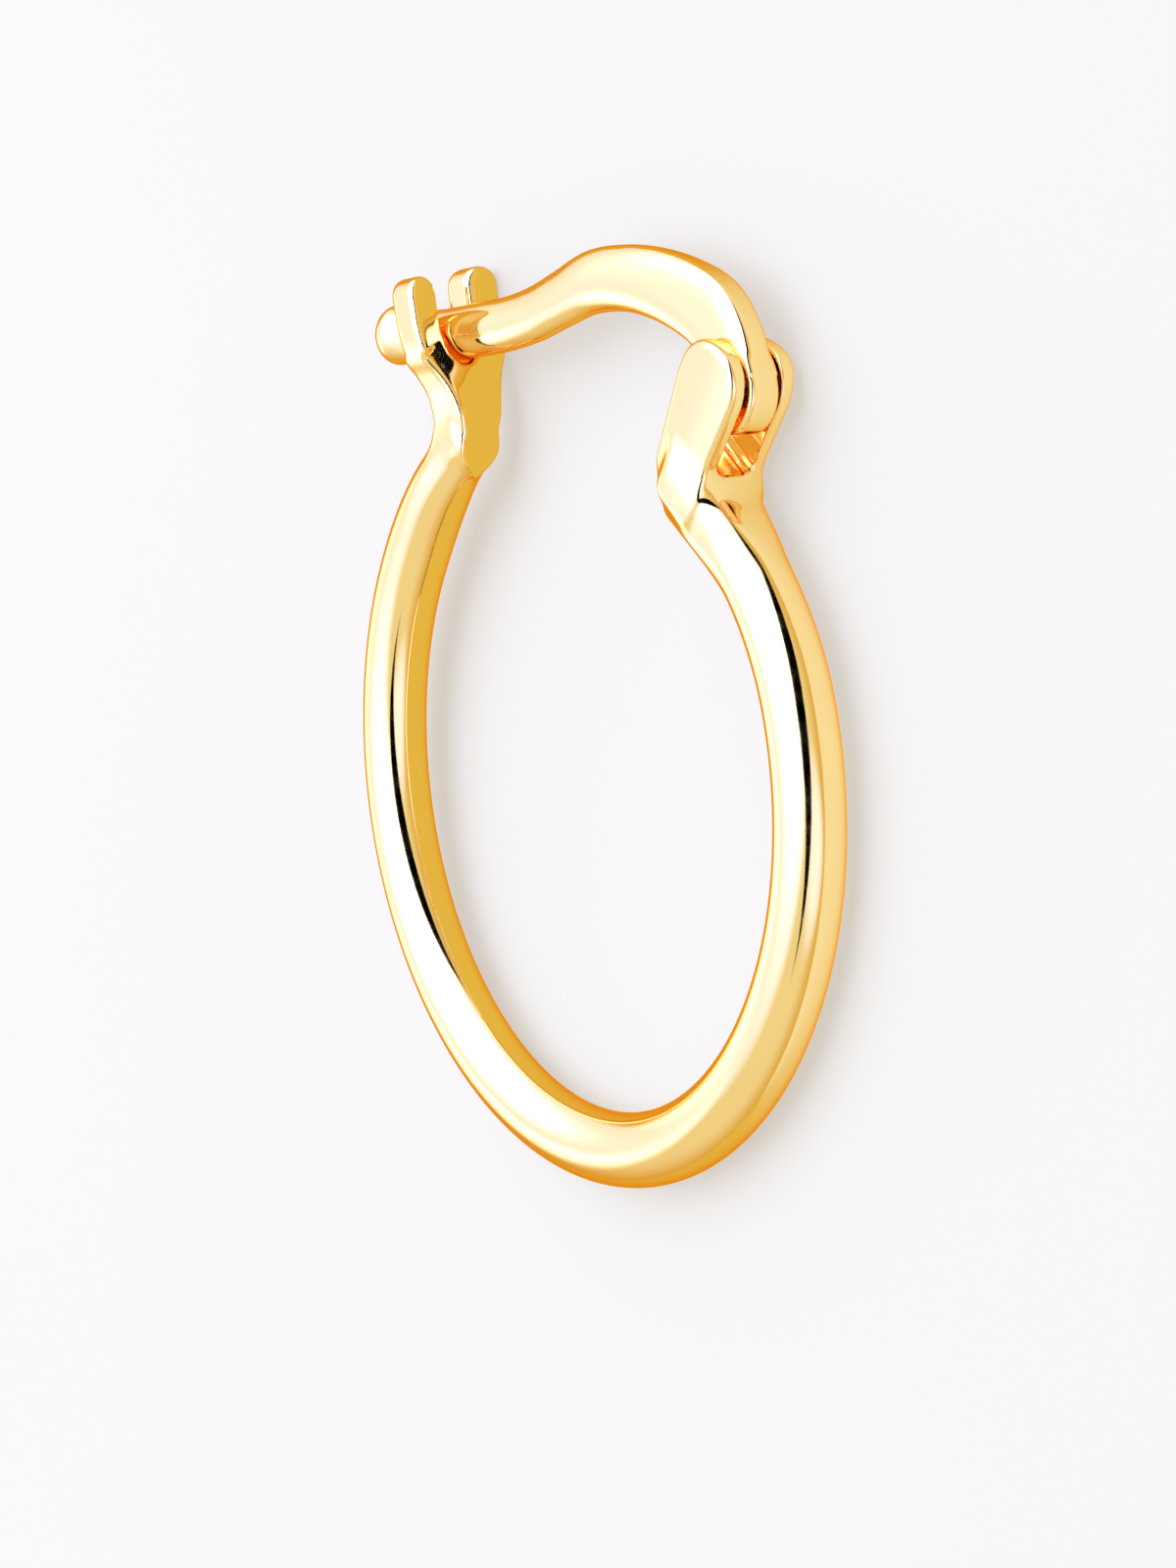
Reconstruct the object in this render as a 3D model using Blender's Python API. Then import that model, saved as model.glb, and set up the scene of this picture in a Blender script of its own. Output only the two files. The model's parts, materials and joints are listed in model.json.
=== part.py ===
"""Hoop earring closed by an arched latch bar, lying on its side.

The ring wire, its catch fork and its slotted hinge block are soldered into one piece.
The latch bar turns on a hidden pin between the two ears of the hinge block.
The earring is laid out in its own plane: +X towards the hinge, +Y towards the bar, +Z out of its
upper face, origin at the ring's centre. An empty then lays it down on its three lowest points.
"""
from math import cos, hypot, pi, radians, sin, sqrt

import bmesh
import bpy
from mathutils import Matrix, Vector

MM = 0.001

# Ring wire
HOOP_OUTER_DIAMETER = 16.0 * MM
WIRE_RADIAL = 1.46 * MM
WIRE_AXIAL = 1.26 * MM
WIRE_SQUARENESS = 2.0
CATCH_ANGLE = radians(116.0)
HINGE_ANGLE = radians(48.0)
HINGE_END_INSET = 0.26 * MM
HINGE_END_THINNING = 0.24 * MM
HINGE_END_SWEEP = radians(38.0)
CATCH_END_THINNING = 0.22 * MM
CATCH_END_SWEEP = radians(26.0)

# Catch fork
FORK_HEIGHT = 3.52 * MM
FORK_LEAN = 0.64 * MM
FORK_THICKNESS = 0.86 * MM
PRONG_WIDTH = 0.68 * MM
FORK_SQUARENESS = 3.6
CATCH_CLEARANCE = 0.05 * MM
TONGUE_TILT = radians(20.0)
TONGUE_FACE_OFFSET = 0.51 * MM

# Hinge block
PIVOT_FROM_WIRE = 2.00 * MM
HINGE_LEAN = radians(46.5)
EAR_SPAN = 1.54 * MM
EAR_THICKNESS = 0.33 * MM
EAR_EDGE_ROUNDING = 0.13 * MM
EAR_INNER_SHIFT = 0.10 * MM
BLOCK_FOOT = 0.45 * MM
KNUCKLE_WIDTH = 0.64 * MM
KNUCKLE_RADIUS = 0.79 * MM
HINGE_GAP = 0.08 * MM
SLOT_DEPTH_BELOW_KNUCKLE = 0.60 * MM
SLOT_CORNER_ROUNDING = 0.22 * MM

# Latch bar
BAR_DEPTH = 1.06 * MM
BAR_WIDTH = 0.66 * MM
BAR_ARCH_RISE = 0.49 * MM
BAR_ABOVE_WIRE_END = 2.29 * MM
TIP_PAST_FORK = 2.35 * MM
KNOB_DEPTH = 1.20 * MM
KNOB_WIDTH = 0.98 * MM
TIP_RISE = 0.20 * MM

# Hinge pin
PIN_DIAMETER = 0.50 * MM
PIN_CLEARANCE = 0.05 * MM
PIN_IN_EAR = 0.19 * MM

# Facets
WIRE_SIDES = 20
WIRE_STEPS = 72
BAR_SIDES = 16
BAR_STEPS_PER_ROW = 4
ROUND_SIDES = 24

# Fits worked out from the sizes above
ring_radius = (HOOP_OUTER_DIAMETER - WIRE_RADIAL) / 2
catch_root = Vector((ring_radius * cos(CATCH_ANGLE), ring_radius * sin(CATCH_ANGLE), 0))
hinge_root = Vector((ring_radius * cos(HINGE_ANGLE), ring_radius * sin(HINGE_ANGLE), 0))
lean = Vector((cos(HINGE_LEAN), sin(HINGE_LEAN), 0))
lean_side = Vector((-lean.y, lean.x, 0))
pivot = hinge_root + lean * PIVOT_FROM_WIRE
slot_width = KNUCKLE_WIDTH + 2 * HINGE_GAP
block_width = slot_width + 2 * EAR_THICKNESS
prong_gap = BAR_WIDTH + 2 * CATCH_CLEARANCE
prong_offset = (prong_gap + PRONG_WIDTH) / 2
fork_middle_x = catch_root.x - FORK_LEAN * 0.9
bar_line_y = catch_root.y + BAR_ABOVE_WIRE_END

# Each prong from the wire to its top: height as a share of FORK_HEIGHT, lean as a share of
# FORK_LEAN, sideways offset as a share of prong_offset, then its width and thickness as shares
# of PRONG_WIDTH and FORK_THICKNESS.
PRONG_ROWS = (
    # height, lean, offset, width, thickness
    (-0.08, -1.00, 0.16, 0.90, 1.00),
    (0.05, -0.30, 0.16, 1.00, 1.35),
    (0.16, 0.00, 0.18, 1.06, 1.30),
    (0.28, 0.02, 0.28, 1.12, 1.20),
    (0.41, -0.14, 0.62, 1.14, 1.04),
    (0.52, -0.38, 0.96, 1.02, 1.00),
    (0.70, -0.72, 1.00, 1.00, 1.00),
    (0.84, -0.86, 1.00, 1.00, 0.98),
)

# The bar from the pivot to the fork: distance as a share of the span, rise as a share of
# BAR_ARCH_RISE, drop as a share of the height from the pivot to the bar line, then its depth as
# a share of BAR_DEPTH, how far its width has gone from the knuckle's to BAR_WIDTH, and squareness.
BAR_ROWS = (
    # along, rise, drop, depth, widening, squareness
    (0.000, 0.00, 0.92, 1.40, 0.0, 4.0),
    (0.014, 0.00, 0.60, 1.40, 0.0, 4.0),
    (0.056, 0.00, 0.30, 1.38, 0.0, 4.0),
    (0.132, 0.00, 0.08, 1.32, 0.1, 3.6),
    (0.230, 0.40, 0.00, 1.24, 0.4, 3.2),
    (0.335, 0.84, 0.00, 1.17, 0.8, 2.8),
    (0.450, 0.94, 0.00, 1.14, 1.0, 2.4),
    (0.560, 0.54, 0.00, 1.06, 1.0, 2.2),
    (0.656, 0.18, 0.00, 1.02, 1.0, 2.2),
    (0.760, 0.00, 0.00, 1.00, 1.0, 2.2),
    (0.880, 0.00, 0.00, 1.00, 1.0, 2.2),
    (1.000, 0.04, 0.00, 0.98, 1.0, 2.2),
)


def clear_scene():
    for old in list(bpy.data.objects):
        bpy.data.objects.remove(old, do_unlink=True)


def polished_gold(name, colour, roughness):
    material = bpy.data.materials.new(name)
    material.use_nodes = True
    shader = material.node_tree.nodes["Principled BSDF"]
    shader.inputs["Base Color"].default_value = (*colour, 1.0)
    shader.inputs["Metallic"].default_value = 1.0
    shader.inputs["Roughness"].default_value = roughness
    return material


def add_object(name, mesh, material=None, parent=None, location=(0, 0, 0)):
    item = bpy.data.objects.new(name, mesh)
    bpy.context.scene.collection.objects.link(item)
    item.location = location
    item.parent = parent
    if material:
        mesh.materials.append(material)
    return item


def add_tool(name, mesh, parent):
    """A shape that is joined to or cut from another one, and isn't a piece itself."""
    item = add_object(name, mesh, parent=parent)
    item.hide_render = True
    item.display_type = 'WIRE'
    return item


def combine(item, tool, operation):
    modifier = item.modifiers.new(tool.name, 'BOOLEAN')
    modifier.operation = operation
    modifier.solver = 'EXACT'
    modifier.object = tool


def to_mesh(name, shape):
    bmesh.ops.recalc_face_normals(shape, faces=shape.faces)
    mesh = bpy.data.meshes.new(name)
    shape.to_mesh(mesh)
    shape.free()
    return mesh


def superellipse(sides, squareness):
    """Points of a unit oval section, fuller at its corners as squareness goes up from 2."""
    points = []
    for i in range(sides):
        angle = 2 * pi * (i + 0.5) / sides
        c = cos(angle)
        s = sin(angle)
        power = 2 / squareness
        points.append((abs(c) ** power * (1 if c > 0 else -1), abs(s) ** power * (1 if s > 0 else -1)))
    return points


def sweep(name, stations, sides):
    """A closed body through sections. A station is its centre, the direction across the section in
    the ring's plane, its half depth along that direction, its half width along Z, and squareness."""
    shape = bmesh.new()
    loops = []
    for centre, across, half_depth, half_width, squareness in stations:
        loop = []
        for depth, width in superellipse(sides, squareness):
            place = centre + across * (depth * half_depth) + Vector((0, 0, width * half_width))
            loop.append(shape.verts.new(place))
        loops.append(loop)
    for first, second in zip(loops, loops[1:]):
        for i in range(sides):
            j = (i + 1) % sides
            shape.faces.new((first[i], first[j], second[j], second[i]))
    shape.faces.new(loops[0])
    shape.faces.new(reversed(loops[-1]))
    return to_mesh(name, shape)


def extrude_outline(name, outline, half_width, rounding=0.0):
    """A plate with the outline in the ring's plane, and round edges where rounding is given."""
    shape = bmesh.new()
    bottom = [shape.verts.new((x, y, -half_width)) for x, y in outline]
    face = shape.faces.new(bottom)
    grown = bmesh.ops.extrude_face_region(shape, geom=[face])
    top = [part for part in grown["geom"] if isinstance(part, bmesh.types.BMVert)]
    bmesh.ops.translate(shape, verts=top, vec=(0, 0, 2 * half_width))
    if rounding:
        rims = [edge for edge in shape.edges
                if abs(edge.verts[0].co.z - edge.verts[1].co.z) < half_width]
        bmesh.ops.bevel(shape, geom=rims, offset=rounding, segments=3, profile=0.5, affect='EDGES')
    return to_mesh(name, shape)


def cylinder(name, centre, radius, length):
    shape = bmesh.new()
    bmesh.ops.create_cone(shape, cap_ends=True, segments=ROUND_SIDES, radius1=radius, radius2=radius,
                          depth=length, matrix=Matrix.Translation(centre))
    return to_mesh(name, shape)


def curve_through(rows, steps):
    """Catmull-Rom curve through rows of numbers, with steps points from each row to the next."""
    count = len(rows)
    result = []
    for i in range(count - 1):
        before = rows[max(i - 1, 0)]
        start = rows[i]
        end = rows[i + 1]
        after = rows[min(i + 2, count - 1)]
        for k in range(steps):
            t = k / steps
            result.append(tuple(
                0.5 * (2 * b + (c - a) * t + (2 * a - 5 * b + 4 * c - d) * t ** 2
                       + (3 * b - a - 3 * c + d) * t ** 3)
                for a, b, c, d in zip(before, start, end, after)))
    result.append(tuple(rows[-1]))
    return result


def directions_across(centres):
    """For each point of a path, the direction in the ring's plane at right angles to the path."""
    result = []
    for i in range(len(centres)):
        ahead = centres[min(i + 1, len(centres) - 1)]
        behind = centres[max(i - 1, 0)]
        along = ahead - behind
        length = hypot(along.x, along.y)
        result.append(Vector((along.y / length, -along.x / length, 0)))
    return result


def smooth_step(value):
    value = min(max(value, 0.0), 1.0)
    return value * value * (3 - 2 * value)


def wire_mesh():
    """The ring's wire, from inside the hinge block round to the foot of the fork."""
    stations = []
    start = HINGE_ANGLE
    sweep_angle = 2 * pi - (CATCH_ANGLE - HINGE_ANGLE)
    for i in range(WIRE_STEPS + 1):
        travelled = sweep_angle * i / WIRE_STEPS
        angle = start - travelled
        near_hinge = smooth_step(1 - travelled / HINGE_END_SWEEP)
        near_catch = smooth_step(1 - (sweep_angle - travelled) / CATCH_END_SWEEP)
        radius = ring_radius - HINGE_END_INSET * near_hinge + CATCH_END_THINNING / 2 * near_catch
        radial = WIRE_RADIAL - HINGE_END_THINNING * near_hinge - CATCH_END_THINNING * near_catch
        outward = Vector((cos(angle), sin(angle), 0))
        stations.append((outward * radius, outward, radial / 2, WIRE_AXIAL / 2, WIRE_SQUARENESS))
    return sweep("wire", stations, WIRE_SIDES)


def prong_mesh(side):
    """One prong of the fork with its share of the neck; side is 1 or -1 along Z."""
    centres = []
    sizes = []
    for height, x_share, offset, width, thickness in curve_through(PRONG_ROWS, 3):
        centres.append(Vector((catch_root.x + FORK_LEAN * x_share,
                               catch_root.y + FORK_HEIGHT * height,
                               prong_offset * offset * side)))
        sizes.append((FORK_THICKNESS * thickness / 2, PRONG_WIDTH * width / 2))
    top = FORK_HEIGHT + catch_root.y
    end_centre = centres[-1].copy()
    end_radius = top - end_centre.y
    last_thickness, last_width = sizes[-1]
    for share in (0.35, 0.65, 0.86, 0.97):
        place = end_centre.copy()
        place.y = end_centre.y + end_radius * share
        place.x = end_centre.x - FORK_LEAN * 0.04 * share
        centres.append(place)
        fullness = sqrt(1 - share * share)
        sizes.append((last_thickness * (0.55 + 0.45 * fullness), last_width * fullness))
    stations = [(centre, across, depth, width, FORK_SQUARENESS)
                for centre, across, (depth, width) in zip(centres, directions_across(centres), sizes)]
    return sweep("prong", stations, BAR_SIDES)


def tongue_cutter_mesh():
    """Everything in front of the sloping flat face below the fork."""
    foot = catch_root + Vector((TONGUE_FACE_OFFSET, 0, 0))
    up = Vector((sin(TONGUE_TILT), cos(TONGUE_TILT), 0))
    low = foot - up * WIRE_RADIAL
    high = foot + up * (FORK_HEIGHT * 0.22)
    reach = 2 * WIRE_RADIAL
    outline = [(low.x, low.y), (high.x, high.y), (high.x + reach, high.y), (low.x + reach, low.y)]
    return extrude_outline("tongue_cutter", outline, WIRE_AXIAL)


def hinge_point(along, across):
    """A point given from the pivot: along the ears' lean, and across it towards the hoop's inside."""
    place = pivot + lean * along + lean_side * across
    return (place.x, place.y)


def hinge_block_mesh():
    """The solid outline of the two ears and their foot on the wire, before the slot is cut."""
    half = EAR_SPAN / 2
    inner = EAR_INNER_SHIFT + half
    outer = EAR_INNER_SHIFT - half
    foot = -(PIVOT_FROM_WIRE + BLOCK_FOOT)
    corner = BLOCK_FOOT / 2
    outline = [hinge_point(foot, inner - 3.2 * corner),
               hinge_point(foot + 0.35 * corner, inner - 0.9 * corner),
               hinge_point(foot + 1.1 * corner, inner)]
    arc_steps = 14
    for i in range(arc_steps + 1):
        angle = pi / 2 - pi * i / arc_steps
        outline.append(hinge_point(half * cos(angle), EAR_INNER_SHIFT + half * sin(angle)))
    outline.append(hinge_point(-(PIVOT_FROM_WIRE - 2.0 * BLOCK_FOOT), outer))
    outline.append(hinge_point(-(PIVOT_FROM_WIRE - 1.0 * BLOCK_FOOT), outer - 0.2 * corner))
    outline.append(hinge_point(-(PIVOT_FROM_WIRE - 0.2 * BLOCK_FOOT), outer - 0.6 * corner))
    outline.append(hinge_point(foot, inner - 5.5 * corner))
    return extrude_outline("hinge_block", outline, block_width / 2, EAR_EDGE_ROUNDING)


def hinge_slot_mesh():
    """The slot between the ears, with its floor rounded up into both ears."""
    floor = -(KNUCKLE_RADIUS + SLOT_DEPTH_BELOW_KNUCKLE)
    half = slot_width / 2
    profile = [(PIVOT_FROM_WIRE, half)]
    profile += [(floor + SLOT_CORNER_ROUNDING * (1 - sin(a)), half - SLOT_CORNER_ROUNDING * (1 - cos(a)))
                for a in (0, pi / 6, pi / 3, pi / 2)]
    profile += [(along, -z) for along, z in reversed(profile)]
    shape = bmesh.new()
    reach = EAR_SPAN
    near = []
    for along, z in profile:
        x, y = hinge_point(along, -reach)
        near.append(shape.verts.new((x, y, z)))
    face = shape.faces.new(near)
    grown = bmesh.ops.extrude_face_region(shape, geom=[face])
    moved = [part for part in grown["geom"] if isinstance(part, bmesh.types.BMVert)]
    bmesh.ops.translate(shape, verts=moved, vec=lean_side * (2 * reach + EAR_INNER_SHIFT))
    return to_mesh("hinge_slot", shape)


def bar_mesh():
    """The latch bar from the knuckle to its rounded tip, placed from the pivot."""
    span = pivot.x - fork_middle_x
    drop = bar_line_y - pivot.y
    rows = []
    for along, rise, fall, depth, widening, squareness in BAR_ROWS:
        width = KNUCKLE_WIDTH + (BAR_WIDTH - KNUCKLE_WIDTH) * widening
        rows.append((pivot.x - span * along, bar_line_y + BAR_ARCH_RISE * rise - drop * fall,
                     BAR_DEPTH * depth, width, squareness))
    neck_x = fork_middle_x - FORK_THICKNESS
    knob_x = fork_middle_x - TIP_PAST_FORK + KNOB_DEPTH / 2
    rows.append((neck_x, bar_line_y + TIP_RISE * 0.5, BAR_DEPTH, BAR_WIDTH * 1.02, 2.2))
    rows.append((knob_x, bar_line_y + TIP_RISE, KNOB_DEPTH, KNOB_WIDTH, 2.0))
    centres = []
    sizes = []
    for x, y, depth, width, squareness in curve_through(rows, BAR_STEPS_PER_ROW):
        centres.append(Vector((x, y, 0)) - pivot)
        sizes.append((depth / 2, width / 2, squareness))
    knob = centres[-1].copy()
    for share in (0.3, 0.55, 0.76, 0.9, 0.98):
        fullness = sqrt(1 - share * share)
        centres.append(knob - Vector((KNOB_DEPTH / 2 * share, 0, 0)))
        sizes.append((KNOB_DEPTH / 2 * fullness, KNOB_WIDTH / 2 * fullness, 2.0))
    stations = [(centre, across, depth, width, squareness)
                for centre, across, (depth, width, squareness)
                in zip(centres, directions_across(centres), sizes)]
    return sweep("latch_bar", stations, BAR_SIDES)


def make_hoop(parent, material):
    hoop = add_object("hoop", wire_mesh(), material, parent)
    for name, mesh in (("prong_upper", prong_mesh(1)), ("prong_lower", prong_mesh(-1)),
                       ("hinge_block", hinge_block_mesh())):
        combine(hoop, add_tool(name, mesh, parent), 'UNION')
    pocket = cylinder("pin_pockets", pivot, PIN_DIAMETER / 2 + PIN_CLEARANCE,
                      slot_width + 2 * (PIN_IN_EAR + PIN_CLEARANCE))
    for name, mesh in (("tongue_cutter", tongue_cutter_mesh()), ("hinge_slot", hinge_slot_mesh()),
                       ("pin_pockets", pocket)):
        combine(hoop, add_tool(name, mesh, parent), 'DIFFERENCE')
    return hoop


def make_latch_bar(parent, material):
    bar = add_object("latch_bar", bar_mesh(), material, parent, pivot)
    knuckle = add_tool("knuckle", cylinder("knuckle", pivot, KNUCKLE_RADIUS, KNUCKLE_WIDTH), parent)
    bore = add_tool("knuckle_bore", cylinder("knuckle_bore", pivot, PIN_DIAMETER / 2 + PIN_CLEARANCE,
                                             2 * KNUCKLE_WIDTH), parent)
    combine(bar, knuckle, 'UNION')
    combine(bar, bore, 'DIFFERENCE')
    return bar


def make_hinge_pin(parent, material):
    length = slot_width + 2 * PIN_IN_EAR
    return add_object("hinge_pin", cylinder("hinge_pin", (0, 0, 0), PIN_DIAMETER / 2, length),
                      material, parent, pivot)


def lay_down(frame, pieces):
    """Turns the frame so that the pieces lie on their three lowest points, then centres them."""
    bpy.context.view_layer.update()
    depsgraph = bpy.context.evaluated_depsgraph_get()
    cloud = bmesh.new()
    weight = 0.0
    balance = Vector((0, 0, 0))
    for piece in pieces:
        shown = piece.evaluated_get(depsgraph)
        mesh = shown.to_mesh()
        place = shown.matrix_world
        for vertex in mesh.vertices:
            cloud.verts.new(place @ vertex.co)
        mesh.calc_loop_triangles()
        for triangle in mesh.loop_triangles:
            a, b, c = (place @ mesh.vertices[i].co for i in triangle.vertices)
            volume = a.dot(b.cross(c)) / 6
            weight += volume
            balance += (a + b + c) * (volume / 4)
        shown.to_mesh_clear()
    balance /= weight
    bmesh.ops.convex_hull(cloud, input=cloud.verts)
    cloud.normal_update()
    seat = None
    for face in cloud.faces:
        if face.normal.z > -0.8:
            continue
        corners = [vertex.co.xy for vertex in face.verts]
        if all(inside_edge(a, b, balance.xy, face.normal.z)
               for a, b in zip(corners, corners[1:] + corners[:1])):
            seat = face.normal.copy()
    turn = seat.rotation_difference(Vector((0, 0, -1))).to_matrix()
    low = Vector((1, 1, 1))
    high = -low
    for vertex in cloud.verts:
        place = turn @ vertex.co
        for axis in range(3):
            low[axis] = min(low[axis], place[axis])
            high[axis] = max(high[axis], place[axis])
    cloud.free()
    frame.rotation_euler = turn.to_euler()
    frame.location = (-(low.x + high.x) / 2, -(low.y + high.y) / 2, -low.z)


def inside_edge(a, b, point, facing):
    """Whether a point lies on the face's side of an edge; facing is the normal's Z."""
    turn = (b.x - a.x) * (point.y - a.y) - (b.y - a.y) * (point.x - a.x)
    return turn * facing >= 0


def shade_round(item, limit=radians(35)):
    item.data.shade_smooth()
    item.data.set_sharp_from_angle(angle=limit)


def main():
    clear_scene()
    frame = bpy.data.objects.new("lying_pose", None)
    bpy.context.scene.collection.objects.link(frame)
    gold = (0.93, 0.66, 0.24)
    pieces = (make_hoop(frame, polished_gold("hoop_gold", gold, 0.12)),
              make_latch_bar(frame, polished_gold("bar_gold", gold, 0.12)),
              make_hinge_pin(frame, polished_gold("pin_gold", gold, 0.2)))
    for piece in pieces:
        shade_round(piece)
    lay_down(frame, pieces)


main()
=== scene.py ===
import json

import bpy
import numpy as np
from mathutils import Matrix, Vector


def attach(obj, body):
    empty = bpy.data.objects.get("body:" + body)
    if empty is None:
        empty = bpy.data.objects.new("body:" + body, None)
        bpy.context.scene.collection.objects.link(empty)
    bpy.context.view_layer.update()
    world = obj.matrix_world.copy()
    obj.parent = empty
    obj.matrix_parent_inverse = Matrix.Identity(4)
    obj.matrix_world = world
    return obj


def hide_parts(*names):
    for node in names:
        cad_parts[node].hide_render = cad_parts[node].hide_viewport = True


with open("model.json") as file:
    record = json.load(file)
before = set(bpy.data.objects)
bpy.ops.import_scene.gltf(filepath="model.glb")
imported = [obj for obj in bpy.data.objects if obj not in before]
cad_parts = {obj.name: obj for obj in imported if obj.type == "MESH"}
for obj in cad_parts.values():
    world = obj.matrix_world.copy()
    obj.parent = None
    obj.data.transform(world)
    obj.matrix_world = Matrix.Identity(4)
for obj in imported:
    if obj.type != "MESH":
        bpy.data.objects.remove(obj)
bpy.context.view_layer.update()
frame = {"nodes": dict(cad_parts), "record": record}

# Looks of the hoop earring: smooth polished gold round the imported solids, on a pale floor.
# Forms are given in millimetres in the earring's own plane: X towards the hinge, Y towards the
# latch bar, Z out of the upper face, origin at the ring's centre. Each is a distance function,
# negative inside the metal, and its zero level becomes the mesh, so that soldered joints blend
# and edges are worn round as on polished jewellery.

MM = 0.001

# Ring wire. Its hinge end is wider and squarer, so that it runs into the hinge block.
RING_RADIUS = 7.27
WIRE_RADIAL = 1.46
WIRE_AXIAL = 1.26
CATCH_ANGLE = 116.0
HINGE_ANGLE = 48.0
HINGE_END_INSET = 0.26
HINGE_END_THINNING = 0.24
HINGE_END_SWEEP = 38.0
CATCH_END_THINNING = 0.22
CATCH_END_SWEEP = 26.0
CATCH_END_NARROWING = 0.28
CATCH_END_REACH = 0.36
HINGE_END_REACH = 0.05
HINGE_END_WIDENING = 0.12
HINGE_END_WIDENING_SWEEP = 26.0
HINGE_END_SQUARING = 2.5
HINGE_END_SQUARING_SWEEP = 20.0
WIRE_END_ROUNDING = 0.20

# Catch fork. The prongs' faces are cupped above a crease that falls away to both sides.
FORK_HEIGHT = 3.55
PRONG_OFFSET = 0.72
PRONG_HALF_WIDTH = 0.345
FORK_EDGE_ROUNDING = 0.20
FORK_FACE_ROUNDING = 0.06
FORK_BACK_ROUNDING = 0.34
PRONG_LENGTH_DIFFERENCE = 0.17
PRONG_TWIST = 0.08
CROTCH_TOP = 2.27
CROTCH_DEPTH = 0.57
CROTCH_HALF_WIDTH = 0.37
CUP_DEPTH = 0.19
CREASE_HEIGHT = 2.05
CREASE_SLOPE = 0.70
CREASE_SOFTNESS = 0.22
FORK_FILLET = 0.22

# Hinge block: two ears on one foot, leaning out from the wire, with the bar's slot between them
PIVOT_FROM_WIRE = 2.00
HINGE_LEAN = 46.5
EAR_INNER_SPAN = 1.10
EAR_INNER_TAPER = 0.20
EAR_TAPER_START = 0.30
EAR_TAPER_LENGTH = 2.20
EAR_OUTER_SPAN = 0.67
EAR_HEAD = 0.83
BLOCK_FOOT = 0.27
BLOCK_HALF_WIDTH = 0.73
FOOT_ROUNDING = 0.30
BLOCK_FILLET = 0.58
EAR_CROWN = 0.07
EAR_ROUNDING = 0.15
SLOT_HALF_WIDTH = 0.40
SLOT_FLOOR = 1.40
SLOT_CORNER = 0.24
SLOT_RIM_ROUNDING = 0.06
BORE_IN_EAR = 0.24

# Latch bar: round knuckle at the pivot, arch, straight run through the fork, neck and knob
KNUCKLE_WIDTH = 0.64
KNUCKLE_RADIUS = 0.79
KNUCKLE_EDGE_ROUNDING = 0.14
KNUCKLE_FILLET = 0.12
BAR_DEPTH = 1.06
BAR_WIDTH = 0.66
BAR_ARCH_RISE = 0.49
BAR_ABOVE_WIRE_END = 2.29
FORK_MIDDLE_SHIFT = 0.576
BAR_START_CAP = 0.05
NECK_PAST_FORK = 0.86
NECK_WIDENING = 1.02
NECK_SQUARENESS = 2.2
KNOB_PAST_FORK = 1.75
TIP_RISE = 0.20
KNOB_DEPTH = 1.22
KNOB_WIDTH = 0.98
KNOB_SQUARENESS = 2.0
KNOB_CAP = 0.60
KNOB_SIDE_MARGIN = 0.02
BORE_RADIUS = 0.30

# The fork is worked out only left of this x and above this y, the hinge block only right of its
# x and above its y
CATCH_REGION = (-1.5, 5.2)
HINGE_REGION = (2.5, 3.2)

# Fineness of the curves and of the grids that the meshes come from, and how far the grids reach
FORK_STEPS = 40
BAR_STEPS = 24
FACE_SLOPE_STEP = 0.05
SLOPE_STEP = 0.004
SURFACE_PASSES = 5
POINTS_AT_ONCE = 20000
HOOP_CELL = 0.06
HOOP_GRID_MARGIN = 0.15
HOOP_GRID_HALF_HEIGHT = 1.2
FORK_GRID_MARGIN = 0.2
BAR_CELL = 0.05
BAR_GRID_LOW = (-6.5, 5.8, -0.7)
BAR_GRID_HIGH = (7.6, 10.2, 0.7)


def on_circle(radius, degrees):
    angle = np.radians(degrees)
    return np.array((radius * np.cos(angle), radius * np.sin(angle), 0.0))


catch_root = on_circle(RING_RADIUS, CATCH_ANGLE)
lean = on_circle(1.0, HINGE_LEAN)
lean_side = np.array((-lean[1], lean[0], 0.0))
pivot = on_circle(RING_RADIUS, HINGE_ANGLE) + lean * PIVOT_FROM_WIRE
fork_middle_x = catch_root[0] - FORK_MIDDLE_SHIFT
bar_line_y = catch_root[1] + BAR_ABOVE_WIRE_END

# The fork from the tongue's tip below the wire's end up to the prongs' tops, in millimetres above
# the wire's end: how far past it the front face lies, the plate's thickness and its half width.
FORK_ROWS = (
    # height, face, thickness, half_width
    (-0.80, 0.10, 1.10, -0.22),
    (-0.47, 0.20, 1.12, 0.08),
    (-0.33, 0.28, 1.18, 0.22),
    (-0.17, 0.34, 1.24, 0.32),
    (0.25, 0.48, 1.30, 0.43),
    (0.64, 0.56, 1.24, 0.51),
    (1.12, 0.46, 1.06, 0.62),
    (1.50, 0.31, 0.97, 0.78),
    (1.80, 0.18, 0.94, 0.95),
    (2.10, 0.09, 0.94, 1.04),
    (2.50, 0.00, 0.96, 1.07),
    (3.00, -0.06, 0.98, 1.07),
    (3.60, -0.09, 0.98, 1.07),
)

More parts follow.
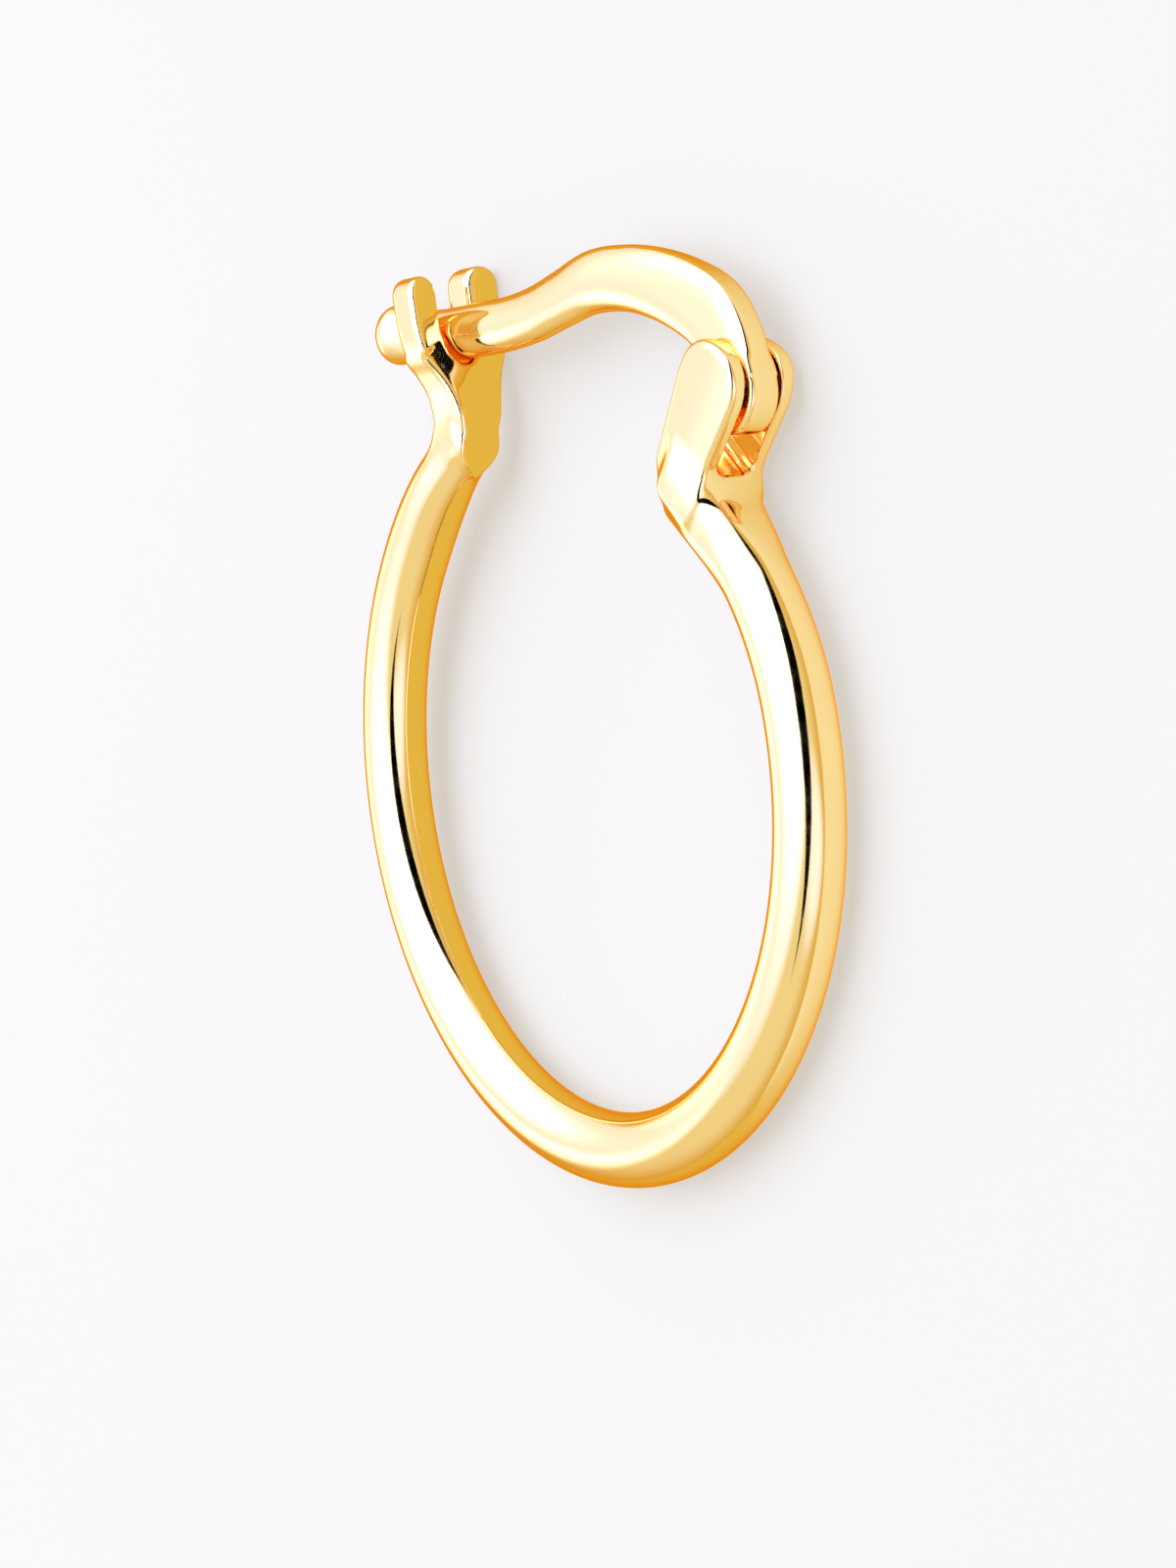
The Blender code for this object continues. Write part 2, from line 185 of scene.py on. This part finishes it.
# The bar from the pivot to the fork: distance as a share of the span, rise as a share of
# BAR_ARCH_RISE, drop as a share of the height from the pivot to the bar line, then its depth as
# a share of BAR_DEPTH, how far its width has gone from the knuckle's to BAR_WIDTH, and squareness.
BAR_ROWS = (
    # along, rise, drop, depth, widening, squareness
    (0.000, 0.00, 0.92, 1.40, 0.0, 4.5),
    (0.014, 0.00, 0.60, 1.40, 0.0, 4.5),
    (0.056, 0.00, 0.30, 1.38, 0.0, 4.5),
    (0.132, 0.00, 0.08, 1.32, 0.1, 3.6),
    (0.230, 0.40, 0.00, 1.24, 0.4, 2.9),
    (0.335, 0.84, 0.00, 1.17, 0.8, 2.3),
    (0.450, 0.94, 0.00, 1.14, 1.0, 2.0),
    (0.560, 0.54, 0.00, 1.06, 1.0, 1.9),
    (0.656, 0.18, 0.00, 1.02, 1.0, 1.9),
    (0.760, 0.00, 0.00, 1.00, 1.0, 1.9),
    (0.880, 0.00, 0.00, 1.00, 1.0, 1.9),
    (1.000, 0.04, 0.00, 0.98, 1.0, 2.0),
)


# Distance functions

def smooth_step(value):
    value = np.clip(value, 0.0, 1.0)
    return value * value * (3 - 2 * value)


def blend_union(a, b, width):
    """Union of two forms with a fillet about as wide as width."""
    h = np.clip(0.5 + 0.5 * (b - a) / width, 0.0, 1.0)
    return b * (1 - h) + a * h - width * h * (1 - h)


def blend_overlap(a, b, width):
    """What both forms share, with its edge rounded over about width."""
    return -blend_union(-a, -b, width)


def oval(a, b, half_a, half_b, n=2.0):
    """Distance from an oval, which turns square as n grows past 2."""
    a = np.abs(a) / half_a
    b = np.abs(b) / half_b
    k = (a ** n + b ** n) ** (1 / n)
    slope = np.hypot(a ** (n - 1) / half_a, b ** (n - 1) / half_b)
    return (k - 1) * k ** (n - 1) / np.maximum(slope, 1e-6)


def curve_through(rows, steps):
    """Catmull-Rom curve through rows of numbers, with steps points from each row to the next."""
    rows = np.array(rows, float)
    before = np.vstack((rows[:1], rows[:-2]))
    start = rows[:-1]
    end = rows[1:]
    after = np.vstack((rows[2:], rows[-1:]))
    result = []
    for k in range(steps):
        t = k / steps
        result.append(0.5 * (2 * start + (end - before) * t
                             + (2 * before - 5 * start + 4 * end - after) * t ** 2
                             + (3 * start - before - 3 * end + after) * t ** 3))
    ordered = np.stack(result, 1).reshape(-1, rows.shape[1])
    return np.vstack((ordered, rows[-1:]))


def wire(p):
    """The ring wire. travelled is the way from its hinge end towards the catch, in degrees."""
    x, y, z = p.T
    whole = 360 - (CATCH_ANGLE - HINGE_ANGLE)
    travelled = (HINGE_ANGLE - np.degrees(np.arctan2(y, x))) % 360
    past_hinge = p @ on_circle(1.0, HINGE_ANGLE + 90)
    past_catch = p @ on_circle(1.0, CATCH_ANGLE - 90)
    gap = np.minimum(past_hinge, past_catch)
    travelled = np.where((gap > 0) & (past_hinge < past_catch), 0.0, travelled)
    near_hinge = smooth_step(1 - travelled / HINGE_END_SWEEP)
    near_catch = smooth_step(1 - (whole - travelled) / CATCH_END_SWEEP)
    radius = RING_RADIUS - HINGE_END_INSET * near_hinge + CATCH_END_THINNING / 2 * near_catch
    radial = WIRE_RADIAL - HINGE_END_THINNING * near_hinge - CATCH_END_THINNING * near_catch
    widening = smooth_step(1 - travelled / HINGE_END_WIDENING_SWEEP)
    axial = WIRE_AXIAL - CATCH_END_NARROWING * near_catch ** 3 + HINGE_END_WIDENING * widening
    squareness = 2 + HINGE_END_SQUARING * smooth_step(1 - travelled / HINGE_END_SQUARING_SWEEP)
    section = oval(np.hypot(x, y) - radius, z, radial / 2, axial / 2, squareness)
    ends = np.minimum(past_hinge - HINGE_END_REACH, past_catch - CATCH_END_REACH)
    return blend_overlap(section, ends, WIRE_END_ROUNDING)


fork_table = curve_through(FORK_ROWS, FORK_STEPS)


def fork_at(height, column):
    return np.interp(height, fork_table[:, 0], fork_table[:, column])


def front_face(p):
    """Distance in front of the fork's front face, which is cupped across the prongs."""
    height = p[:, 1] - catch_root[1]
    step = FACE_SLOPE_STEP
    slope = (fork_at(height + step, 1) - fork_at(height - step, 1)) / (2 * step)
    side = np.abs(p[:, 2])
    crease = CREASE_HEIGHT + CREASE_SLOPE * (PRONG_OFFSET - side)
    cupped = smooth_step((height - crease) / CREASE_SOFTNESS + 0.5)
    face = fork_at(height, 1) + cupped * (CUP_DEPTH * (side - PRONG_OFFSET) + PRONG_TWIST * p[:, 2])
    return (p[:, 0] - catch_root[0] - face) / np.hypot(1, slope)


def fork(p):
    height = p[:, 1] - catch_root[1]
    side = np.abs(p[:, 2])
    reach = FORK_HEIGHT - np.sign(p[:, 2]) * PRONG_LENGTH_DIFFERENCE / 2
    above = height - reach + PRONG_HALF_WIDTH
    rounded_top = np.hypot(side - PRONG_OFFSET, above) - PRONG_HALF_WIDTH
    crotch = oval(side, np.minimum(height - CROTCH_TOP, 0), CROTCH_HALF_WIDTH, CROTCH_DEPTH)
    outline = np.where(above > 0, rounded_top, np.maximum(side - fork_at(height, 3), -crotch))
    front = front_face(p)
    plate = blend_overlap(outline, front, FORK_EDGE_ROUNDING)
    return blend_overlap(plate, -front - fork_at(height, 2), FORK_BACK_ROUNDING)


def hinge_block(p):
    rel = p - pivot
    along = rel @ lean
    across = rel @ lean_side
    tapered = np.clip(along + EAR_TAPER_START, -EAR_TAPER_LENGTH, 0)
    span = np.where(across > 0, EAR_INNER_SPAN + EAR_INNER_TAPER * tapered, EAR_OUTER_SPAN)
    tab = oval(across, np.maximum(along, 0), span, EAR_HEAD)
    tab = blend_overlap(tab, -along - PIVOT_FROM_WIRE - BLOCK_FOOT, FOOT_ROUNDING)
    crown = EAR_CROWN * (np.clip(across / span, -1, 1) ** 2)
    return blend_overlap(tab, np.abs(p[:, 2]) - BLOCK_HALF_WIDTH + crown, EAR_ROUNDING)


def hinge_slot(p):
    along = (p - pivot) @ lean
    a = np.abs(p[:, 2]) - SLOT_HALF_WIDTH + SLOT_CORNER
    b = -SLOT_FLOOR - along + SLOT_CORNER
    return np.hypot(np.maximum(a, 0), np.maximum(b, 0)) + np.minimum(np.maximum(a, b), 0) - SLOT_CORNER


def pin_bore(p, half_length):
    rel = p - pivot
    return np.maximum(np.hypot(rel[:, 0], rel[:, 1]) - BORE_RADIUS, np.abs(p[:, 2]) - half_length)


def hoop_form(p):
    form = wire(p)
    at_catch = (p[:, 0] < CATCH_REGION[0]) & (p[:, 1] > CATCH_REGION[1])
    q = p[at_catch]
    catch = blend_union(form[at_catch], fork(q), FORK_FILLET)
    form[at_catch] = blend_overlap(catch, front_face(q), FORK_FACE_ROUNDING)
    at_hinge = (p[:, 0] > HINGE_REGION[0]) & (p[:, 1] > HINGE_REGION[1])
    q = p[at_hinge]
    block = blend_union(form[at_hinge], hinge_block(q), BLOCK_FILLET)
    block = blend_overlap(block, -hinge_slot(q), SLOT_RIM_ROUNDING)
    form[at_hinge] = np.maximum(block, -pin_bore(q, SLOT_HALF_WIDTH + BORE_IN_EAR))
    return form


def bar_path():
    """Points along the bar with their depth, width and squareness."""
    span = pivot[0] - fork_middle_x
    drop = bar_line_y - pivot[1]
    rows = []
    for along, rise, fall, depth, widening, squareness in BAR_ROWS:
        width = KNUCKLE_WIDTH + (BAR_WIDTH - KNUCKLE_WIDTH) * widening
        rows.append((pivot[0] - span * along, bar_line_y + BAR_ARCH_RISE * rise - drop * fall,
                     BAR_DEPTH * depth, width, squareness))
    rows.append((fork_middle_x - NECK_PAST_FORK, bar_line_y + TIP_RISE / 2,
                 BAR_DEPTH, BAR_WIDTH * NECK_WIDENING, NECK_SQUARENESS))
    rows.append((fork_middle_x - KNOB_PAST_FORK, bar_line_y + TIP_RISE,
                 KNOB_DEPTH, KNOB_WIDTH, KNOB_SQUARENESS))
    return curve_through(rows, BAR_STEPS)


bar_table = bar_path()
bar_steps = np.diff(bar_table[:, :2], axis=0)
bar_length = np.concatenate(((0,), np.cumsum(np.hypot(*bar_steps.T))))
bar_ways = np.gradient(bar_table[:, :2], bar_length, axis=0)
bar_ways /= np.hypot(*bar_ways.T)[:, None]


def bar_form(p):
    nearest = np.empty(len(p), int)
    for start in range(0, len(p), POINTS_AT_ONCE):
        part = slice(start, start + POINTS_AT_ONCE)
        q = p[part, None, :2] - bar_table[None, :, :2]
        nearest[part] = np.argmin(q[..., 0] ** 2 + q[..., 1] ** 2, axis=1)
    rel = p[:, :2] - bar_table[nearest, :2]
    way = bar_ways[nearest]
    ahead = (rel * way).sum(1)
    across = rel[:, 0] * way[:, 1] - rel[:, 1] * way[:, 0]
    place = bar_length[nearest] + ahead
    depth, width, squareness = (np.interp(place, bar_length, bar_table[:, i]) for i in (2, 3, 4))
    k = (np.abs(2 * across / depth) ** squareness
         + np.abs(2 * p[:, 2] / width) ** squareness) ** (1 / squareness)
    past_tip = np.maximum(place - bar_length[-1], 0) / KNOB_CAP
    k = np.hypot(k, past_tip)
    bar = (k - 1) * width / 2
    bar = np.maximum(bar, -place - BAR_START_CAP)
    rel = p - pivot
    knuckle = np.hypot(rel[:, 0], rel[:, 1]) - KNUCKLE_RADIUS
    knuckle = blend_overlap(knuckle, np.abs(p[:, 2]) - KNUCKLE_WIDTH / 2, KNUCKLE_EDGE_ROUNDING)
    form = blend_union(bar, knuckle, KNUCKLE_FILLET)
    form = np.maximum(form, np.abs(p[:, 2]) - KNOB_WIDTH / 2 - KNOB_SIDE_MARGIN)
    return np.maximum(form, -pin_bore(p, KNUCKLE_WIDTH))


# Meshes

def slopes(form, points):
    result = np.empty_like(points)
    for axis in range(3):
        shift = np.zeros(3)
        shift[axis] = SLOPE_STEP
        result[:, axis] = (form(points + shift) - form(points - shift)) / (2 * SLOPE_STEP)
    return result


def level_surface(form, low, high, cell):
    """Quads on the zero level of a form: one point in each grid cell that the surface crosses,
    then moved onto the surface itself."""
    axes = [np.arange(a, b + cell, cell) for a, b in zip(low, high)]
    size = [len(axis) for axis in axes]
    values = np.empty(size)
    for i, x in enumerate(axes[0]):
        y, z = np.meshgrid(axes[1], axes[2], indexing="ij")
        values[i] = form(np.stack((np.full(y.size, x), y.ravel(), z.ravel()), 1)).reshape(y.shape)
    inside = values < 0
    corners = [(a, b, c) for a in (0, 1) for b in (0, 1) for c in (0, 1)]
    count = sum(inside[a:size[0] - 1 + a, b:size[1] - 1 + b, c:size[2] - 1 + c].astype(int)
                for a, b, c in corners)
    crossed = (count > 0) & (count < 8)
    number = np.full(crossed.shape, -1)
    number[crossed] = np.arange(crossed.sum())
    cells = np.argwhere(crossed)
    total = np.zeros((len(cells), 3))
    hits = np.zeros(len(cells))
    for first in corners:
        for axis in range(3):
            if first[axis]:
                continue
            second = tuple(1 if i == axis else first[i] for i in range(3))
            a = values[tuple((cells + first).T)]
            b = values[tuple((cells + second).T)]
            crossing = (a < 0) != (b < 0)
            share = np.where(crossing, a / np.where(crossing, a - b, 1), 0)
            spot = np.array(first) + share[:, None] * np.array([i == axis for i in range(3)])
            total += np.where(crossing[:, None], spot, 0)
            hits += crossing
    points = np.array(low) + cell * (cells + total / hits[:, None])
    quads = []
    for axis in range(3):
        other, last = (axis + 1) % 3, (axis + 2) % 3
        here = [slice(1, -1)] * 3
        here[axis] = slice(0, -1)
        ahead = list(here)
        ahead[axis] = slice(1, None)
        start = inside[tuple(here)]
        change = start != inside[tuple(ahead)]
        spots = np.argwhere(change) + np.array([0 if i == axis else 1 for i in range(3)])
        ring = []
        for a, b in ((0, 0), (-1, 0), (-1, -1), (0, -1)):
            shift = np.zeros(3, int)
            shift[other] = a
            shift[last] = b
            ring.append(number[tuple((spots + shift).T)])
        faces = np.stack(ring, 1)
        outward = start[change]
        faces[~outward] = faces[~outward][:, ::-1]
        quads.append(faces)
    for _ in range(SURFACE_PASSES):
        slope = slopes(form, points)
        move = slope * (form(points) / np.maximum((slope ** 2).sum(1), 1e-6))[:, None]
        points -= np.clip(move, -cell / 2, cell / 2)
    slope = slopes(form, points)
    return points, np.vstack(quads), slope / np.linalg.norm(slope, axis=1)[:, None]


def earring_to_world():
    """The matrix that lays the earring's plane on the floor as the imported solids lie: the hinge
    axis gives its turn and the pivot its place."""
    joint = frame["record"]["behaviour"]["joints"][0]
    normal = -Vector(joint["axis"]).normalized()
    turn = Vector((0, 0, 1)).rotation_difference(normal).to_matrix()
    place = Vector(joint["pos_m"]) - turn @ (Vector(pivot) * MM)
    return Matrix.LocRotScale(place, turn.to_quaternion(), (1, 1, 1))


to_world = earring_to_world()


def add_form(name, form, low, high, cell, material):
    points, quads, normals = level_surface(form, low, high, cell)
    matrix = np.array(to_world)
    points = points * MM @ matrix[:3, :3].T + matrix[:3, 3]
    normals = normals @ matrix[:3, :3].T
    mesh = bpy.data.meshes.new(name)
    mesh.from_pydata(points.tolist(), [], quads.tolist())
    mesh.shade_smooth()
    mesh.normals_split_custom_set_from_vertices(normals.tolist())
    mesh.materials.append(material)
    item = bpy.data.objects.new(name, mesh)
    bpy.context.scene.collection.objects.link(item)
    return item


# Materials

GOLD = (1.0, 0.82, 0.52)
PIN_GOLD = (0.95, 0.66, 0.25)
EDGE_TINT = (1.0, 0.52, 0.12)
POLISHED_ROUGHNESS = (0.05, 0.11)
DRAWN_ROUGHNESS = (0.15, 0.28)

# Faint changes of tone, and the fine marks of polishing. Scales are in waves a metre.
TONE_SCALE = 260.0
TONE_DETAIL = 3.0
TONE_RANGE = (0.30, 0.70)
DARKER_TONE = 0.97
MARK_SCALE = 2400.0
MARK_DETAIL = 4.0
MARK_RANGE = (0.35, 0.65)
MARK_STRENGTH = 0.06
MARK_DEPTH = 0.00002


def polished_gold(name, colour, roughness):
    """Polished gold plate: fine polishing marks in the roughness and a faint waviness."""
    material = bpy.data.materials.new(name)
    material.use_nodes = True
    nodes = material.node_tree.nodes
    links = material.node_tree.links
    shader = nodes["Principled BSDF"]
    shader.inputs["Metallic"].default_value = 1.0
    shader.inputs["Specular Tint"].default_value = (*EDGE_TINT, 1.0)
    where = nodes.new("ShaderNodeTexCoord")
    tone = nodes.new("ShaderNodeTexNoise")
    tone.inputs["Scale"].default_value = TONE_SCALE
    tone.inputs["Detail"].default_value = TONE_DETAIL
    links.new(where.outputs["Object"], tone.inputs["Vector"])
    ramp = nodes.new("ShaderNodeValToRGB")
    darker, lighter = ramp.color_ramp.elements
    darker.position, lighter.position = TONE_RANGE
    darker.color = (*(c * DARKER_TONE for c in colour), 1.0)
    lighter.color = (*colour, 1.0)
    links.new(tone.outputs["Fac"], ramp.inputs["Fac"])
    links.new(ramp.outputs["Color"], shader.inputs["Base Color"])
    marks = nodes.new("ShaderNodeTexNoise")
    marks.inputs["Scale"].default_value = MARK_SCALE
    marks.inputs["Detail"].default_value = MARK_DETAIL
    links.new(where.outputs["Object"], marks.inputs["Vector"])
    spread = nodes.new("ShaderNodeMapRange")
    spread.inputs["From Min"].default_value = MARK_RANGE[0]
    spread.inputs["From Max"].default_value = MARK_RANGE[1]
    spread.inputs["To Min"].default_value = roughness[0]
    spread.inputs["To Max"].default_value = roughness[1]
    links.new(marks.outputs["Fac"], spread.inputs["Value"])
    links.new(spread.outputs["Result"], shader.inputs["Roughness"])
    bump = nodes.new("ShaderNodeBump")
    bump.inputs["Strength"].default_value = MARK_STRENGTH
    bump.inputs["Distance"].default_value = MARK_DEPTH
    links.new(marks.outputs["Fac"], bump.inputs["Height"])
    links.new(bump.outputs["Normal"], shader.inputs["Normal"])
    return material


hoop_gold = polished_gold("polished_hoop_gold", GOLD, POLISHED_ROUGHNESS)
bar_gold = polished_gold("polished_bar_gold", GOLD, POLISHED_ROUGHNESS)
pin_gold = polished_gold("drawn_pin_gold", PIN_GOLD, DRAWN_ROUGHNESS)

# Pieces

edge = RING_RADIUS + WIRE_RADIAL / 2 + HOOP_GRID_MARGIN
fork_top = catch_root[1] + FORK_HEIGHT + FORK_GRID_MARGIN
hoop = add_form("polished_hoop", hoop_form, (-edge, -edge, -HOOP_GRID_HALF_HEIGHT),
                (edge, fork_top, HOOP_GRID_HALF_HEIGHT), HOOP_CELL, hoop_gold)
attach(hoop, "hoop")
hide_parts("hoop")

bar = add_form("polished_latch_bar", bar_form, BAR_GRID_LOW, BAR_GRID_HIGH, BAR_CELL, bar_gold)
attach(bar, "latch")
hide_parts("latch_bar")

pin = frame["nodes"]["hinge_pin"]
for slot in pin.material_slots:
    slot.material = pin_gold


# Floor, light and camera

FLOOR_HALF = 3.0
FLOOR_ROUGHNESS = 0.6
FLOOR_SPECULAR = 0.2
GRAIN_SCALE = 40.0
FLOOR_TONES = (0.30, 0.31)
FLOOR_GLOW = 0.455

# Painted reflection: the metal's mirror rays see the floor as a flat warm glow instead of the lit
# floor, pale past the hinge. Limits are x in metres.
PAINTED_FLOOR_REFLECTION = (0.80, 0.57, 0.10)
PAINTED_PALE_FLOOR_REFLECTION = (0.97, 0.88, 0.58)
PAINTED_PALE_REFLECTION_START = 0.003
PAINTED_PALE_REFLECTION_END = 0.009


def floor_material():
    material = bpy.data.materials.new("pale_floor_with_painted_reflection")
    material.use_nodes = True
    nodes = material.node_tree.nodes
    links = material.node_tree.links
    shader = nodes["Principled BSDF"]
    shader.inputs["Roughness"].default_value = FLOOR_ROUGHNESS
    shader.inputs["Specular IOR Level"].default_value = FLOOR_SPECULAR
    where = nodes.new("ShaderNodeTexCoord")
    grain = nodes.new("ShaderNodeTexNoise")
    grain.inputs["Scale"].default_value = GRAIN_SCALE
    links.new(where.outputs["Object"], grain.inputs["Vector"])
    ramp = nodes.new("ShaderNodeValToRGB")
    for element, tone in zip(ramp.color_ramp.elements, FLOOR_TONES):
        element.color = (tone, tone, tone, 1.0)
    links.new(grain.outputs["Fac"], ramp.inputs["Fac"])
    links.new(ramp.outputs["Color"], shader.inputs["Base Color"])
    shader.inputs["Emission Color"].default_value = (1.0, 1.0, 1.0, 1.0)
    shader.inputs["Emission Strength"].default_value = FLOOR_GLOW
    # Painted reflection: a flat warm glow, pale past the hinge, shown only to glossy rays in place of
    # the lit floor.
    place = nodes.new("ShaderNodeSeparateXYZ")
    links.new(where.outputs["Object"], place.inputs["Vector"])
    pale_reflection_mask = nodes.new("ShaderNodeMapRange")
    pale_reflection_mask.interpolation_type = 'SMOOTHSTEP'
    pale_reflection_mask.inputs["From Min"].default_value = PAINTED_PALE_REFLECTION_START
    pale_reflection_mask.inputs["From Max"].default_value = PAINTED_PALE_REFLECTION_END
    links.new(place.outputs["X"], pale_reflection_mask.inputs["Value"])
    painted_reflection_tones = nodes.new("ShaderNodeValToRGB")
    painted_reflection_tones.color_ramp.elements[0].color = (*PAINTED_FLOOR_REFLECTION, 1.0)
    painted_reflection_tones.color_ramp.elements[1].color = (*PAINTED_PALE_FLOOR_REFLECTION, 1.0)
    links.new(pale_reflection_mask.outputs["Result"], painted_reflection_tones.inputs["Fac"])
    painted_reflection_glow = nodes.new("ShaderNodeEmission")
    links.new(painted_reflection_tones.outputs["Color"], painted_reflection_glow.inputs["Color"])
    path = nodes.new("ShaderNodeLightPath")
    either = nodes.new("ShaderNodeMixShader")
    links.new(path.outputs["Is Glossy Ray"], either.inputs["Fac"])
    links.new(shader.outputs["BSDF"], either.inputs[1])
    links.new(painted_reflection_glow.outputs["Emission"], either.inputs[2])
    links.new(either.outputs["Shader"], nodes["Material Output"].inputs["Surface"])
    return material


def add_floor():
    mesh = bpy.data.meshes.new("floor")
    corners = ((-1, -1), (1, -1), (1, 1), (-1, 1))
    mesh.from_pydata([(x * FLOOR_HALF, y * FLOOR_HALF, 0) for x, y in corners], [], [(0, 1, 2, 3)])
    mesh.materials.append(floor_material())
    floor = bpy.data.objects.new("floor", mesh)
    bpy.context.scene.collection.objects.link(floor)


# The studio round the earring: big soft lights and a thin black strip, whose reflections give
# polished gold its white bands and black lines. Azimuth is from X towards Y, in degrees.
SOFT_LIGHTS = (
    # azimuth, elevation, radius, softness, brightness
    (105.0, 60.0, 36.0, 18.0, 2.8),
    (115.0, 55.0, 57.0, 5.0, 1.15),
    (181.0, 24.0, 20.0, 9.0, 2.0),
    (-25.0, 30.0, 16.0, 13.0, 1.2),
)

# The lights are faintly blue, which keeps their reflections in the yellow metal pale. Between
# them the world is warm at the horizon and turns into SKY up to HORIZON_TOP degrees.
LIGHT_TINT = (1.0, 1.0, 1.12)
SKY = (0.90, 0.78, 0.44)
HORIZON = (0.76, 0.49, 0.11)
HORIZON_TOP = 34.0

# The black strip follows a circle round STRIP_AXIS, on STRIP_MIDDLE's side, and thins out to both
# ends. Sizes here are shares of the unit vectors' products.
STRIP_AXIS = Vector((-0.561, 0.355, 0.748))
STRIP_ALONG = Vector((0.081, 0.923, -0.377))
STRIP_MIDDLE = Vector((0.60, 0.10, 0.79))
STRIP_COSINE = 0.22
STRIP_HALF_WIDTH = 0.21
STRIP_HALF_LENGTH = 0.88
STRIP_EDGE = 0.02
STRIP_SIDE = (0.1, 0.2)


def direction(azimuth, elevation):
    a = np.radians(azimuth)
    e = np.radians(elevation)
    return Vector((np.cos(a) * np.cos(e), np.sin(a) * np.cos(e), np.sin(e)))


class Studio:
    """Builds the world's shader: light as a function of direction."""

    def __init__(self, world):
        self.nodes = world.node_tree.nodes
        self.links = world.node_tree.links
        self.back = self.nodes["Background"]
        self.where = self.nodes.new("ShaderNodeTexCoord").outputs["Generated"]

    def along(self, axis):
        node = self.nodes.new("ShaderNodeVectorMath")
        node.operation = 'DOT_PRODUCT'
        self.links.new(self.where, node.inputs[0])
        node.inputs[1].default_value = axis
        return node.outputs["Value"]

    def math(self, operation, a, b):
        node = self.nodes.new("ShaderNodeMath")
        node.operation = operation
        for socket, value in zip(node.inputs, (a, b)):
            if isinstance(value, bpy.types.NodeSocket):
                self.links.new(value, socket)
            else:
                socket.default_value = value
        return node.outputs["Value"]

    def ramp(self, value, start, end):
        node = self.nodes.new("ShaderNodeMapRange")
        node.interpolation_type = 'SMOOTHSTEP'
        self.links.new(value, node.inputs["Value"])
        node.inputs["From Min"].default_value = start
        node.inputs["From Max"].default_value = end
        return node.outputs["Result"]

    def over(self, below, above, mask):
        node = self.nodes.new("ShaderNodeMix")
        node.data_type = 'RGBA'
        self.links.new(mask, node.inputs["Factor"])
        for name, value in (("A", below), ("B", above)):
            socket = next(i for i in node.inputs if i.name == name and i.type == 'RGBA')
            if isinstance(value, bpy.types.NodeSocket):
                self.links.new(value, socket)
            else:
                socket.default_value = (*value, 1.0)
        return next(o for o in node.outputs if o.type == 'RGBA')

    def strip(self):
        spread = self.math('DIVIDE', self.along(STRIP_ALONG), STRIP_HALF_LENGTH)
        taper = self.math('SUBTRACT', 1.0, self.math('MULTIPLY', spread, spread))
        off = self.math('ABSOLUTE', self.math('SUBTRACT', self.along(STRIP_AXIS), STRIP_COSINE), 0.0)
        inside = self.math('SUBTRACT', self.math('MULTIPLY', taper, STRIP_HALF_WIDTH), off)
        return self.math('MULTIPLY', self.ramp(inside, 0.0, STRIP_EDGE),
                         self.ramp(self.along(STRIP_MIDDLE), *STRIP_SIDE))

    def light(self):
        up = self.along((0, 0, 1))
        colour = self.over(HORIZON, SKY, self.ramp(up, 0.0, np.sin(np.radians(HORIZON_TOP))))
        for azimuth, elevation, radius, softness, brightness in reversed(SOFT_LIGHTS):
            edge = [np.cos(np.radians(radius + s)) for s in (softness, -softness)]
            mask = self.ramp(self.along(direction(azimuth, elevation)), *edge)
            colour = self.over(colour, [c * brightness for c in LIGHT_TINT], mask)
        colour = self.over(colour, (0.0, 0.0, 0.0), self.strip())
        self.links.new(colour, self.back.inputs["Color"])


def set_world():
    world = bpy.data.worlds.new("studio")
    bpy.context.scene.world = world
    world.use_nodes = True
    Studio(world).light()


# The camera in the earring's own frame: its place in millimetres, and its right, down and
# forward directions. It is the photo's view of the earring; lying down, that is from above.
CAMERA_PLACE = Vector((65.56, 3.566, 41.78))
CAMERA_RIGHT = Vector((0.5391, -0.0879, -0.8377))
CAMERA_DOWN = Vector((-0.0069, -0.9950, 0.0999))
CAMERA_FORWARD = Vector((-0.8422, -0.0480, -0.5370))
CAMERA_LENS = 92.81
SENSOR_WIDTH = 36.0
CLIP_START = 0.001
MAX_BOUNCES = 16
GLOSSY_BOUNCES = 12


def add_camera():
    data = bpy.data.cameras.new("camera")
    data.lens = CAMERA_LENS
    data.sensor_width = SENSOR_WIDTH
    data.clip_start = CLIP_START
    camera = bpy.data.objects.new("camera", data)
    axes = Matrix((CAMERA_RIGHT, -CAMERA_DOWN, -CAMERA_FORWARD)).transposed()
    turn = to_world.to_3x3() @ axes
    place = to_world @ (CAMERA_PLACE * MM)
    camera.matrix_world = Matrix.LocRotScale(place, turn.to_quaternion(), (1, 1, 1))
    bpy.context.scene.collection.objects.link(camera)
    bpy.context.scene.camera = camera


add_floor()
set_world()
add_camera()
bpy.context.scene.view_settings.view_transform = 'Standard'
bpy.context.scene.cycles.max_bounces = MAX_BOUNCES
bpy.context.scene.cycles.glossy_bounces = GLOSSY_BOUNCES
